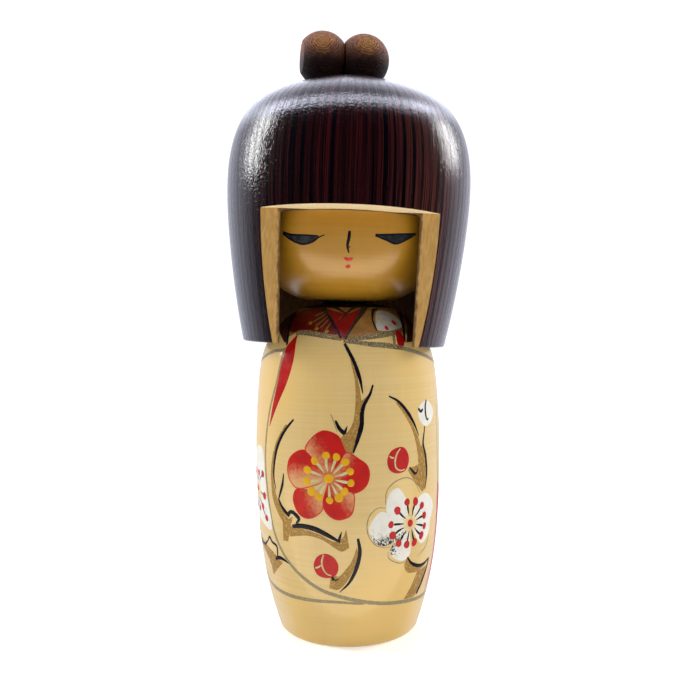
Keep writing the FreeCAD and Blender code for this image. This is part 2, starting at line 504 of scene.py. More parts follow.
def sawn_wood(name, pale, deep, shadow_edge=None):
    """Bare wood left fuzzy by the saw; where a line is given, a painted shadow darkens it along the bore's
    edge.
    """
    wood = Finish(name, Roughness=0.75, Specular_IOR_Level=0.25)
    where = wood.place(lean=True)
    fibre = wood.noise(wood.scaled(where, (1500, 1500, 260)), 1.0, 4.0, 0.65)
    cloud = wood.noise(where, 140.0, 3.0)
    colour = wood.mix(wood.span(fibre, 0.35, 0.65), deep, pale)
    colour = wood.mix(wood.span(cloud, 0.4, 0.75, 0.0, 0.4), colour, deep)
    if shadow_edge:
        radius, slope = shadow_edge
        parts = wood.parts(where)
        edge = wood.math("MULTIPLY_ADD", parts[2], slope, radius)
        gap = wood.math("SUBTRACT", wood.reach(parts), edge)
        gap = wood.plus(gap, wood.times(wood.centred(fibre), 0.0012))
        # Painted shadow: dark brown along the cheeks' inner edge, next to the bore.
        colour = wood.mix(wood.span(gap, 0.00015, 0.0006, 0.85, 0.0), colour, (0.07, 0.028, 0.010))
    wood.shade("Base Color", colour)
    wood.bump(fibre, 0.5, 0.0003)
    return wood.material


def bun_wood(name, heart):
    """Brown stained bead with growth rings about an axis through its heart."""
    wood = Finish(name, Specular_IOR_Level=0.14)
    where = wood.place(lean=True)
    local = wood.node("VectorMath", {0: where, 1: heart}, operation="SUBTRACT").outputs[0]
    tilt = wood.node("VectorRotate", {"Vector": local, "Axis": (1, 0, 0), "Angle": math.radians(-68)})
    parts = wood.parts(tilt.outputs[0])
    bend = wood.noise(local, 330.0, 3.0, 0.6)
    reach = wood.reach(parts)
    ring = wood.math("SINE", wood.math("MULTIPLY_ADD", bend, 20.0, wood.times(reach, 8600.0)))
    ring = wood.span(ring, -0.9, 0.9)
    fibre = wood.noise(wood.scaled(local, (1500, 1500, 1900)), 1.0, 3.0, 0.65)
    mottle = wood.noise(local, 900.0, 4.0, 0.7)
    grain = wood.plus(wood.times(ring, 0.20), wood.times(mottle, 0.80))
    spot = wood.plus(reach, wood.times(wood.centred(bend), 0.006))
    golden = wood.span(spot, 0.0012, 0.0052, 1.0, 0.0)
    facing = wood.parts(local)[2]
    # Painted shade: the bead is near-black low down and brown higher up, where the light falls.
    lit_upper = wood.span(wood.plus(facing, wood.times(bend, 0.006)), -0.001, 0.0085)
    colour = wood.mix(lit_upper, (0.010, 0.0035, 0.0042), (0.30, 0.115, 0.052))
    colour = wood.mix(wood.times(golden, 0.8), colour, (0.56, 0.25, 0.075))
    colour = wood.mix(wood.span(grain, 0.38, 0.62, 0.72, 0.0), colour, (0.030, 0.010, 0.007))
    wood.shade("Base Color", colour)
    height = wood.plus(wood.times(ring, 0.35), fibre)
    wood.bump(height, 0.7, 0.0003)
    wood.shade("Roughness", wood.span(fibre, 0.3, 0.7, 0.45, 0.65))
    return wood.material


def plain_paint(name, colour, second, patches=600.0):
    """Thin paint whose colour varies a little with the brush."""
    paint = Finish(name, **LACQUER)
    cloud = paint.noise(paint.place(), patches, 3.0, 0.6)
    paint.shade("Base Color", paint.mix(paint.span(cloud, 0.4, 0.7), colour, second))
    paint.bump(cloud, 0.15, 0.0001)
    return paint.material


def dry_paint(name, colour, ground, cover, dark=None):
    """Paint dragged by a dry brush, so the ground shows between its streaks."""
    paint = Finish(name, **LACQUER)
    vector = paint.node("CombineXYZ", {
        0: paint.times(paint.mark("along"), 0.35),
        1: paint.times(paint.mark("edge"), 2.2),
        2: 0.0,
    }).outputs[0]
    streak = paint.noise(vector, 1.6, 3.0, 0.65)
    speck = paint.noise(paint.place(), 1900.0, 2.0)
    amount = paint.plus(paint.times(streak, 0.55), paint.times(speck, 0.45))
    share = paint.span(amount, cover - 0.05, cover + 0.08)
    if dark:
        colour = paint.mix(paint.span(amount, cover - 0.16, cover - 0.02), dark, colour)
    paint.shade("Base Color", paint.mix(share, colour, ground))
    paint.bump(amount, 0.15, 0.0001)
    return paint.material


def petal_paint(name, strong, faded, rim=True):
    """Petal colour that is wiped from strong to faded, inside a thin rim."""
    paint = Finish(name, **LACQUER)
    where = paint.place()
    brush = paint.noise(where, 900.0, 4.0, 0.65)
    cloud = paint.noise(where, 260.0, 2.0)
    amount = paint.plus(paint.mark("fade"), paint.times(paint.centred(brush), 0.55))
    share = paint.span(amount, 0.30, 0.95)
    deep = tuple(c * 0.85 for c in strong)
    colour = paint.mix(paint.span(cloud, 0.4, 0.65), strong, deep)
    colour = paint.mix(share, colour, faded)
    if rim:
        colour = paint.mix(paint.span(paint.mark("edge"), 0.90, 0.96, 0.0, 0.85), colour, strong)
    paint.shade("Base Color", colour)
    paint.bump(brush, 0.15, 0.0001)
    return paint.material


def white_paint(name):
    """Chalky white: thin near the flower's heart, worn to dark specks elsewhere."""
    paint = Finish(name, **LACQUER)
    where = paint.place()
    brush = paint.noise(where, 1700.0, 4.0, 0.75)
    cloud = paint.noise(where, 380.0, 2.0)
    colour = paint.mix(paint.span(cloud, 0.4, 0.7, 0.0, 0.30), (0.76, 0.74, 0.68), (0.62, 0.57, 0.45))
    loose = paint.centred(brush)
    thin = paint.span(paint.plus(paint.mark("along"), loose), 0.50, 0.85)
    colour = paint.mix(thin, colour, BODY_GROUND)
    wear = paint.plus(paint.mark("fade"), paint.times(loose, 2.6))
    colour = paint.mix(paint.span(wear, 0.72, 0.88), colour, (0.020, 0.018, 0.018))
    paint.shade("Base Color", colour)
    paint.bump(brush, 0.3, 0.00015)
    return paint.material


def speckled_paint(name, colour, dark, light):
    """Metallic-looking paint: dark and light grains in a middle tone."""
    paint = Finish(name, **LACQUER)
    where = paint.place()
    grains = paint.noise(where, 2600.0, 2.0, 0.6)
    colour = paint.mix(paint.span(grains, 0.44, 0.52), dark, colour)
    colour = paint.mix(paint.span(grains, 0.56, 0.62), colour, light)
    paint.shade("Base Color", colour)
    paint.bump(grains, 0.3, 0.0001)
    return paint.material


RED = (0.52, 0.007, 0.005)
INK = (0.0035, 0.003, 0.010)
# The bore's radius at height 0, and how much it widens with height; the cheeks get a painted shadow along it.
BORE_LINE = (23.25 * MM, 0.099)

body_finish = turned_wood(
    "lacquered_body", False, (0.71, 0.52, 0.23), (0.655, 0.465, 0.185), (0.74, 0.50, 0.17),
    Coat_Weight=0.45, Coat_Roughness=0.12, Specular_IOR_Level=0.15)
face_finish = turned_wood(
    "lacquered_face", True, (0.46, 0.225, 0.018), (0.41, 0.19, 0.010), (0.37, 0.165, 0.007),
    Coat_Weight=1.0, Coat_Roughness=0.28, Coat_IOR=1.6, Specular_IOR_Level=0.1)
hair_finish = striped_hair("stained_hair")
cheek_finish = sawn_wood("sawn_cheek", (0.53, 0.315, 0.098), (0.43, 0.24, 0.066), BORE_LINE)
# The lip's underside is the cheeks' sawn wood painted far paler: painted light from the bright table in
# front.
lit_lip_finish = sawn_wood("sawn_lip_lit", (0.92, 0.76, 0.46), (0.80, 0.62, 0.33))
# The inside of the bore is the same sawn wood painted far darker: painted shade inside the shell.
shaded_bore_finish = sawn_wood("bored_hair_shaded", (0.13, 0.07, 0.028), (0.075, 0.035, 0.014))
# Near-black painted shade for the top of the body and a ring round the neck, where the head's shadow falls.
neck_shade_finish = sawn_wood("painted_neck_shade", (0.012, 0.007, 0.005), (0.008, 0.005, 0.004))
dowel_finish = sawn_wood("birch_dowel", (0.72, 0.55, 0.32), (0.58, 0.42, 0.22))


# ---- CAD nodes and their finishes ----

HAIR, CHEEK, LIP, BORE = range(4)
SAWN_NORMAL = 0.985
BORE_REACH = 37 * MM
LIP_HEIGHT = 134.45 * MM
LIP_FRONT = -28 * MM
NECK_TOP = 106.6
BUN_HEART = Vector((0.0003, 0, 0.0003))


def dress(node, *materials):
    """Give a CAD node its finishes; the first covers it all."""
    slots = NODES[node].data.materials
    slots.clear()
    for material in materials:
        slots.append(material)


def mark_sawn_faces(node):
    """Give the flat sawn faces of the hair shell their own finishes."""
    back = HEAD_PLACE.inverted()
    turn = back.to_3x3()
    for face in NODES[node].data.polygons:
        centre = back @ face.center
        normal = turn @ face.normal
        low = centre.z < LIP_HEIGHT
        outward = Vector((centre.x, centre.y, 0)).normalized()
        inside = math.hypot(centre.x, centre.y) < BORE_REACH
        if normal.z < -0.95 and centre.y < LIP_FRONT and centre.z > LIP_HEIGHT - 1 * MM:
            face.material_index = LIP
        elif inside and low and (normal.dot(outward) < -0.3 or normal.z < -0.9):
            face.material_index = BORE
        elif low and normal.y < -SAWN_NORMAL and abs(normal.x) < 0.05:
            face.material_index = CHEEK
        else:
            face.material_index = HAIR


# The body's top, above NECK_TOP, takes the near-black painted shade.
dress("body", body_finish, neck_shade_finish)
for face in NODES["body"].data.polygons:
    face.material_index = 1 if face.center.z > NECK_TOP * MM else 0
dress("head_core", face_finish)
dress("hair_shell", hair_finish, cheek_finish, lit_lip_finish, shaded_bore_finish)
dress("neck_peg", dowel_finish)
dress("crown_dowel", dowel_finish)
for side in ("left", "right"):
    low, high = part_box("bun_" + side)
    heart = HEAD_PLACE.inverted() @ ((low + high) / 2)
    dress("bun_" + side, bun_wood("stained_bun_" + side, heart + BUN_HEART))
    dress("bun_pin_" + side, dowel_finish)
mark_sawn_faces("hair_shell")

BODY_GIRTH = 31.0
FACE_GIRTH = 32.3
# Half the way round the body, so a drawing comes back to the front at twice this.
HALF_ROUND = 97.4
torso_side = Turned("body", UPRIGHT, BODY_GIRTH, 1.0, 106.5)
face_side = Turned("head_core", HEAD_PLACE, FACE_GIRTH, 108.0, 134.0)


def on_body(name, material, lift):
    return Film(name, torso_side, TORSO, "body_wood", material, lift)


def on_face(name, material, lift):
    return Film(name, face_side, HEAD, "face_wood", material, lift)


def toward(centre, direction_deg, reach, middle=0.5):
    """A fade that grows from one side of a patch to the other."""
    centre = Vector(centre)
    way = Vector((math.cos(math.radians(direction_deg)), math.sin(math.radians(direction_deg))))

    def fade(place):
        return middle + (Vector(place) - centre).dot(way) / (2 * reach)

    return fade


def thin_near(heart, reach):
    """Bareness that grows towards a flower's heart."""
    heart = Vector(heart)
    return lambda place: max(0.0, 1 - (Vector(place) - heart).length / reach)


# ---- Robe ----
# The fold, hem and collar lines go on round the back.

grey_gold = dry_paint("grey_gold", (0.27, 0.225, 0.13), (0.50, 0.38, 0.20), 0.56)
tan_wash = dry_paint("tan_wash", (0.41, 0.235, 0.058), BODY_GROUND, 0.60, (0.31, 0.17, 0.038))
neckline = speckled_paint("neckline_gold", (0.23, 0.18, 0.085), (0.10, 0.075, 0.04), (0.42, 0.33, 0.17))
ink = plain_paint("ink", INK, (0.008, 0.008, 0.022))
crimson = plain_paint("crimson", (0.42, 0.003, 0.004), (0.50, 0.018, 0.016), 300.0)
robe_lines = on_body("robe_lines", grey_gold, 0.03)
robe_lines.stroke(
    [(-25, 92.5), (-26.5, 83), (-30, 72), (-32, 59), (-31, 47), (-28.5, 35.5), (-24, 28.5), (-18, 23.5),
        (-10.5, 19.5), (-3.5, 17.5), (4.5, 15.7), (12.5, 14.3), (23.5, 13), (34, 12), (48, 12.5),
        (62, 13.3), (80, 14), (97.5, 14.5), (115, 16.8), (129, 19.6), (139, 21.4), (147, 21.5)],
    1.25, (0.7, 0.6), 0.5)
robe_lines.stroke([(-48, 21.5), (-40.5, 18), (-35, 16), (-24, 15.3), (-13, 15.5), (-4.5, 15.7), (4.5, 15)],
        1.3, (0.8, 0.5), 0.4)
neck_lines = on_body("neck_lines", neckline, 0.05)
neck_lines.strokes((
    ([(-22, 97.6), (-17, 97.6), (-12, 97), (-7.5, 96.3), (-2.8, 95.4)], 1.7, (0.8, 0.35), 0.3),
    ([(-1.9, 95), (3, 95.8), (8, 96.3), (13, 96.8), (19.3, 97.6)], 1.7, (0.5, 0.9), 0.8),
    ([(-2, 95), (3, 94.6), (8, 94), (12.5, 93.7), (16.5, 93.2), (20.5, 92.6)], 1.7, (0.5, 0.8), 0.7),
    ([(18.3, 97.6), (17.4, 95.5), (16.8, 93.3)], 1.1, (0.8, 0.9)),
))
neck_lines.make()
robe_lines.stroke([(20, 92.6), (25, 91.6), (31, 90.2), (39, 88.4), (46, 87), (60, 85.6), (80, 84.6),
        (97.5, 84.4), (115, 85.2), (135, 87), (151, 88.5), (157, 90), (164, 91.7), (169, 92.2),
        (170.5, 92.6)], 1.4, (0.9, 0.7), 0.5)
robe_lines.stroke([(35, 96.6), (41, 99), (49, 101.2), (62, 102.2), (97.5, 102.5), (133, 102.2),
        (146, 101.2), (155, 99), (160, 97.8)], 1.2, (0.4, 0.4), 0.5)
robe_lines.stroke([(38, 74), (37.5, 67), (37, 60), (38.5, 49), (43, 44.5), (46, 37), (46.3, 28), (43.3, 20),
        (38.5, 13)], 0.8, (0.3, 0.6))
robe_lines.make()

sleeve_linings = on_body("sleeve_linings", crimson, 0.04)
sleeve_linings.band([(-24.3, 93.5), (-26, 83), (-28.3, 74), (-29.6, 68)], [(-20.9, 97.4), (-19.7, 90),
        (-21.3, 83.1), (-25, 76), (-29.4, 68)])
sleeve_linings.fill((20.4, 95.6), [(19.3, 97.6), (21, 98.2), (22.4, 97.3), (22.3, 95.3), (20.9, 93.3),
        (19.2, 92.7), (18.3, 94), (18.8, 96)])
sleeve_linings.make()

pink = petal_paint("pink_lining", (0.50, 0.04, 0.07), (0.60, 0.16, 0.18), rim=False)
right_lining = on_body("right_lining", pink, 0.04)
right_lining.band([(38.4, 49), (38, 46), (38.6, 35.5), (38, 25), (35.8, 16), (35, 13)], [(38.4, 49),
        (42.6, 44.3), (45.5, 37), (45.8, 28), (42.8, 20), (35, 13)],
        toward((42, 31), -90, 15))
right_lining.make()

# Collar, under the hair: its paints are darkened as painted shade of the hair, and a band of painted shade
# goes on round the neck.
collar_ground = plain_paint("collar_ground", (0.25, 0.115, 0.028), (0.32, 0.16, 0.04), 300.0)
collar_red = plain_paint("collar_red", (0.19, 0.002, 0.003), (0.23, 0.004, 0.005), 300.0)
collar_bloom = plain_paint("collar_bloom", (0.10, 0.003, 0.003), (0.16, 0.012, 0.006), 200.0)
shaded_green = plain_paint("collar_threads", (0.20, 0.17, 0.045), (0.14, 0.11, 0.03), 700.0)
shaded_yellow = plain_paint("collar_yellow", (0.32, 0.17, 0.006), (0.26, 0.13, 0.006), 700.0)
painted_shade_paint = plain_paint("painted_shade_brown", (0.055, 0.012, 0.008), (0.08, 0.02, 0.012), 300.0)
smoke = dry_paint("collar_smoke", (0.022, 0.016, 0.014), (0.12, 0.07, 0.03), 0.62)
under_kimono = on_body("under_kimono", collar_ground, 0.025)
under_kimono.band([(-26, 96), (-21, 97.8), (-12, 97.2), (-2.5, 95.4), (8, 96.6), (19, 97.8), (25, 97)],
        [(-40, 105.5), (-20, 105.6), (0, 105.7), (20, 105.6), (40, 105.5)])
under_kimono.make()
# Painted shade of the hair on the shoulders; behind, it goes on round the neck as a dark collar band.
sleeve_shade = on_body("sleeve_shade", painted_shade_paint, 0.03)
sleeve_shade.band([(22.8, 94.3), (31, 95), (38, 97.8), (48, 101), (62, 102.2), (97.5, 102.5), (133, 102.2),
        (147, 101), (156, 98.8), (163, 97), (169, 94.3)], [(23.5, 95), (27, 98.5), (33, 102.5), (42, 105.4),
        (62, 105.5), (97.5, 105.5), (133, 105.5), (153, 105.4), (161.5, 102.5), (166.5, 98.5), (169.3, 95)])
sleeve_shade.make()
left_bloom = on_body("collar_red_bloom", collar_bloom, 0.04)
left_bloom.fill((-17, 101), [(-30, 100.5), (-33.5, 103), (-30, 105.2), (-14.5, 105.3), (-9, 102),
        (-6, 99.5), (-4, 97), (-8, 97.2), (-13.5, 98), (-20, 98.4), (-25.5, 97.6)])
left_bloom.make()
collar_patch = on_body("collar_patch", collar_red, 0.045)
collar_patch.band([(-14, 105.4), (-7.4, 101), (-2.6, 96)], [(-1.2, 103.5), (-4, 101.5), (-2.4, 96)])
collar_patch.band([(-1, 103.3), (-4.4, 101.2), (-2.3, 96)], [(8.5, 105.5), (3, 101.2), (-1.8, 96)],
        extra=0.01)
collar_patch.make()
# Painted shade: this white is darkened like the rest of the collar, which lies in the hair's shadow.
collar_white = plain_paint("collar_white", (0.50, 0.48, 0.42), (0.40, 0.36, 0.28), 500.0)
white_bloom = on_body("collar_white_bloom", collar_white, 0.045)
white_bloom.fill((19.5, 101), [(11.4, 98.4), (12, 101), (15, 103.8), (20, 104.6), (25, 104), (27.3, 101.8),
        (25.3, 99.3), (21.5, 98.5), (16, 97.9)])
white_bloom.make()
# A ring of painted shade round the neck, just under the chin.
neck_ring = on_body("neck_ring", neck_shade_finish, 0.05)
round_neck = [-HALF_ROUND + HALF_ROUND / 10 * i for i in range(21)]
neck_ring.band([(around, 105.4) for around in round_neck], [(around, NECK_TOP) for around in round_neck])
neck_ring.make()
collar_ink = on_body("collar_ink", ink, 0.065)
collar_ink.strokes((
    ([(-17, 106), (-12.5, 104), (-7.6, 101.3), (-5, 98.7), (-2.8, 95.8)], 1.35, (0.9, 0.5), 0.3),
    ([(-12.5, 105.9), (-7, 105.3), (-1.2, 103.6)], 0.8, (0.8, 0.7)),
    ([(8.4, 105.9), (3, 105.2), (-0.9, 103.6), (-3.2, 102), (-4.9, 100.6)], 0.75, (0.8, 0.5)),
    ([(-42, 104), (-34, 103), (-31, 101.2), (-28, 98.8), (-26, 96.5), (-24.4, 93.8)], 1.6, (0.7, 0.6)),
    ([(40, 104.5), (34, 103.3), (28.8, 101.3), (25.5, 98.8), (23.2, 96.5), (22.2, 94.5)], 1.5, (0.7, 0.5)),
    ([(19.5, 105.1), (14.5, 104.4), (11.3, 102), (10.9, 99.8), (11.3, 98)], 0.95, (0.5, 0.7), 0.6),
))
collar_ink.make()
collar_smoke = on_body("collar_smoke", smoke, 0.055)
collar_smoke.stroke([(12.6, 106), (8, 104.3), (3.2, 101.4), (0.4, 98.6), (-1.6, 95.6)], 1.9, (0.8, 0.6), 0.5)
collar_smoke.make()


# ---- Branches ----

wash = on_body("branch_wash", tan_wash, 0.035)
for left, right in (
    ([(-0.8, 93.5), (0.6, 88), (1.7, 82.5), (1.7, 75)], [(0, 93), (1.8, 87), (3.3, 80), (3.6, 76)]),
    ([(1.7, 76), (1.2, 72), (-0.2, 68.5), (-2.8, 66), (-1.4, 62)], [(5.6, 78.6), (4, 75), (3.2, 70),
        (2, 65.5), (0.6, 61.5)]),
    ([(-21.5, 69.5), (-25.5, 64), (-28, 57.5), (-28.7, 51.5), (-28, 45.5), (-25.3, 41), (-23, 38.5)],
        [(-20.5, 69.2), (-24.6, 63.5), (-26.8, 57.5), (-27.2, 51.5), (-25.5, 46), (-22.5, 42),
        (-20, 39.5)]),
    ([(-23.5, 39), (-23.6, 36), (-23.7, 33)], [(-19, 41.3), (-20.4, 37), (-21.5, 33.2)]),
    ([(-20.8, 38.2), (-14.3, 37.8), (-9.3, 36.6), (-5, 34.8), (-2.5, 36), (-1.3, 38.8)], [(-20.8, 34.8),
        (-13.7, 36), (-9, 35.2), (-5.2, 33), (-2.8, 31.8), (-0.4, 33)]),
    ([(1.9, 33), (0.4, 29), (-1.8, 26), (-4, 24), (-6.3, 25)], [(2.5, 31), (1.3, 27), (-1, 22.7),
        (-4, 19.8), (-7.2, 20)]),
    ([(15, 76.2), (18.7, 71.3), (21.4, 66.7), (23.1, 61), (23.6, 57)], [(15.6, 76.4), (19.6, 72),
        (22.4, 67.4), (25, 62), (26, 57)]),
    ([(23.6, 60), (23.7, 56), (19.2, 55.6), (21.7, 51.8), (25.7, 47.6)], [(26.2, 63), (27.2, 58),
        (27.9, 53.5), (27.9, 50), (26.9, 48)]),
    ([(19.9, 28), (19, 25.5), (20.5, 23), (25, 22)], [(20.5, 28), (22.3, 25.6), (25, 24.2), (31.5, 23.2)]),
    ([(26, 22.3), (23.5, 18), (20.5, 14)], [(32, 22.5), (29.8, 17.5), (26.5, 13.6)]),
    ([(-44, 28.5), (-38, 27), (-33.4, 24), (-32, 20)], [(-44, 31), (-36, 29.5), (-28.6, 27.5), (-25, 25.6)]),
):
    wash.band(left, right)
wash.make()

BRUSH_SPREAD = 1.12
brush = on_body("branch_ink", ink, 0.06)
for points, width, ends, belly in (
    ([(-1.6, 94.4), (1.2, 89.4), (3.2, 84), (4.1, 79.3)], 1.15, (0.75, 0.2), 0.5),
    ([(7.4, 81.9), (6.4, 79.2), (4.4, 76), (3.7, 73.5), (3.5, 70), (2.4, 66), (0.9, 61.6)], 1.35,
        (0.35, 0.3), 0.6),
    ([(-4.4, 71.4), (-3.2, 69), (-1.6, 67.4)], 1.1, (0.5, 0.9), 0.7),
    ([(-1.8, 67.3), (-0.8, 69.7)], 0.85, (0.9, 0.2), 0.1),
    ([(-18.3, 71.2), (-22.2, 67), (-25.2, 62), (-26.6, 57), (-27, 52.5), (-26, 48.5)], 1.05, (0.5, 0.2), 0.4),
    ([(-22.3, 54.2), (-23, 50.5), (-25, 45.7)], 0.9, (0.35, 0.5), 0.5),
    ([(-25, 45.9), (-23.4, 43.6), (-21.3, 41.8), (-20.4, 41.3)], 1.1, (0.5, 1.0), 0.9),
    ([(-20.9, 41.3), (-20.4, 42.3), (-19.2, 42.7), (-17.6, 41.8), (-16.7, 40.8), (-17.9, 39.3)], 1.15,
        (0.9, 0.3), 0.6),
    ([(-19.4, 38.1), (-16.4, 38.8), (-11.5, 38.4), (-7.3, 36.8), (-3, 34.6)], 1.45, (0.8, 0.35), 0.5),
    ([(-3.7, 35), (-2.7, 38)], 0.8, (0.9, 0.15), 0.1),
    ([(2.3, 35.8), (2.9, 32), (2.5, 29), (1.4, 25.5), (-0.7, 21.8), (-3.8, 18.9)], 1.2, (0.6, 0.15), 0.4),
    ([(-6.2, 24.2), (-5.4, 22.4)], 1.1, (0.7, 0.9), 0.6),
    ([(-5.4, 22.5), (-3.3, 23.6)], 0.5, (0.9, 0.2), 0.1),
    ([(12.6, 78.3), (16, 76.5), (19.6, 72.8), (22.2, 69), (24, 65.3)], 1.0, (0.4, 0.25), 0.5),
    ([(27.4, 68), (26.7, 65.2), (26.2, 62.5), (27.5, 58.5), (28.2, 53), (27.3, 48)], 0.95, (0.4, 0.2), 0.5),
    ([(19.7, 56.1), (21.2, 54.5), (22.7, 53.4)], 0.9, (0.5, 0.9), 0.7),
    ([(22.6, 53.4), (23.6, 55.6)], 0.6, (0.9, 0.2), 0.1),
    ([(19.8, 28.2), (22.3, 25.5), (26.5, 23.8), (30, 23.7), (33.6, 24.6)], 1.1, (0.4, 0.5), 0.4),
    ([(33.6, 24.5), (32.4, 21.3), (30, 17.3), (27.7, 14.2)], 1.3, (0.5, 0.7), 0.7),
    ([(-46, 34), (-42.5, 30.2), (-37, 28.9), (-33.5, 30.8)], 1.0, (0.3, 0.5), 0.6),
    ([(-33.4, 30.9), (-31.6, 32.5), (-30.4, 31.3), (-27.5, 30.3), (-27.6, 26.6)], 0.85, (0.6, 0.6), 0.4),
    ([(-29.3, 25.8), (-26.8, 26.9), (-24.4, 26.8), (-21.8, 26)], 1.15, (0.6, 0.2), 0.3),
):
    brush.stroke(points, BRUSH_SPREAD * width, ends, belly)
brush.make()


# ---- Blossoms and buds ----

PEACH = (0.66, 0.36, 0.155)
RED_HEART = (-6.5, 54)
WHITE_HEART = (20.5, 38.6)
SIDE_HEART = (-41, 46.5)
BARE_REACH = 9.0
red_petals = on_body("red_petals", petal_paint("petal_red", RED, PEACH), 0.045)
for i, (centre, outline, way, reach, middle) in enumerate((
    ((-6.5, 62.5), [RED_HEART, (-10.5, 58), (-14.2, 62.3), (-11.7, 66.3), (-8, 68.4), (-3.6, 67),
        (-2, 64.2), (-1, 61.3), (-3.5, 57.5)], 215, 7.0, 0.34),
    ((-1, 55.5), [RED_HEART, (-3.5, 58.5), (-1, 62.2), (2.4, 60.2), (5.2, 58), (6, 55), (4.8, 51.4),
        (1.1, 49.4), (-3, 50.5)], 150, 6.5, 0.42),
    ((-3.8, 47), [RED_HEART, (-8.2, 50), (-8.6, 46.5), (-7.8, 43.8), (-5.4, 41.8), (-3, 41.4), (0.4, 43),
        (1.4, 47), (1, 49.6), (-2.5, 51)], 40, 6.0, 0.42),
    ((-13.2, 47), [RED_HEART, (-12, 50.5), (-17.2, 50.2), (-18.8, 47), (-17.3, 43), (-14.6, 41.3),
        (-11.4, 41.8), (-8.5, 44.3), (-8.1, 47.5)], 20, 6.0, 0.47),
    ((-15, 56.2), [RED_HEART, (-10, 58.5), (-14.1, 62.2), (-17.3, 61.5), (-20, 59), (-20.8, 55.5),
        (-19.8, 52.3), (-17.3, 50.2), (-12.5, 51)], 270, 5.2, 0.52),
)):
    red_petals.fill(centre, outline, toward(centre, way, reach, middle), extra=0.004 * i)
red_petals.make()

pistil_green = plain_paint("pistil_green", (0.50, 0.50, 0.22), (0.62, 0.60, 0.34), 800.0)
pollen = plain_paint("pollen_yellow", (0.72, 0.39, 0.004), (0.66, 0.33, 0.003), 500.0)
bloom_red = plain_paint("bloom_red", (0.50, 0.012, 0.016), (0.42, 0.008, 0.012), 500.0)


def stamens(centre, tips, threads, drops, thread_width, drop_size, inner, squash=1.0):
    """Filaments from near the flower's centre, each with a drop of paint on its tip."""
    middle = Vector(centre)
    for i, tip in enumerate(tips):
        tip = Vector(tip)
        start = middle.lerp(tip, inner)
        side = Vector((-(tip - middle).y, (tip - middle).x)).normalized()
        bend = start.lerp(tip, 0.5) + side * random.uniform(-0.25, 0.25)
        threads.stroke([start, bend, start.lerp(tip, 0.86)], thread_width, (0.15, 0.7), 0.8)
        size = drop_size * random.uniform(0.88, 1.12)
        drops.dot(tip, size * squash, size)


green_threads = on_body("green_filaments", pistil_green, 0.075)
yellow_drops = on_body("yellow_dots", pollen, 0.09)
stamens(RED_HEART,
        [(-7.3, 60.9), (-4.1, 60.5), (-1.5, 59), (0, 56.2), (0.2, 52.7), (-1.7, 50.2), (-3.4, 48.3),
        (-6.3, 47.4), (-9.6, 48.3), (-12, 49.8), (-13.6, 52.8), (-13.3, 56.2), (-10.9, 59.1)],
        green_threads, yellow_drops, 1.0, 2.6, 0.26)
yellow_drops.dot(RED_HEART, 2.9, 2.9)
for bud in ([(16.3, 62.4), (14.9, 60.8), (14.2, 58.5), (14.6, 56.4), (16.2, 55.5), (18.2, 55.8)],
        [(12.1, 60.4), (13.2, 59.6), (14.2, 59.8)], [(-8.5, 30.9), (-9.3, 28.5), (-9, 26.3), (-7.8, 24.7),
        (-6, 24.1)], [(-12, 26.2), (-10.7, 26.5), (-9.4, 27.4)]):
    green_threads.stroke(bud, 0.62, (0.6, 0.5))
collar_threads = on_body("collar_filaments", shaded_green, 0.07)
collar_drops = on_body("collar_yellow_dots", shaded_yellow, 0.08)
for tip, root in (((-16.5, 100.8), (-11, 103.8)), ((-14.3, 99.4), (-9.8, 103)), ((-11.8, 99), (-8.8, 102)),
        ((-9.3, 98.3), (-7.4, 101)), ((-17.5, 102.8), (-12, 104.4))):
    collar_threads.stroke([root, tip], 0.55, (0.3, 0.8), 0.8)
for tip in ((-17.3, 100.6), (-13.2, 98.8), (-8.6, 98)):
    collar_drops.dot(tip, 1.9, 1.0)
collar_threads.make()
collar_drops.make()

red_buds = on_body("red_buds", bloom_red, 0.05)
red_buds.fill((15.5, 58.7), [(16.2, 62.7), (12.9, 61.7), (11.5, 58.9), (12.3, 56), (14.9, 54.7),
        (18.2, 55.4), (19.5, 58.7), (18.2, 61.9)])
red_buds.fill((-8, 27.2), [(-8.1, 31), (-11, 29.6), (-12.2, 26.6), (-10.9, 24), (-7.6, 23.3), (-4.7, 24.5),
        (-3.9, 27.3), (-5.2, 29.8)])
red_buds.make()

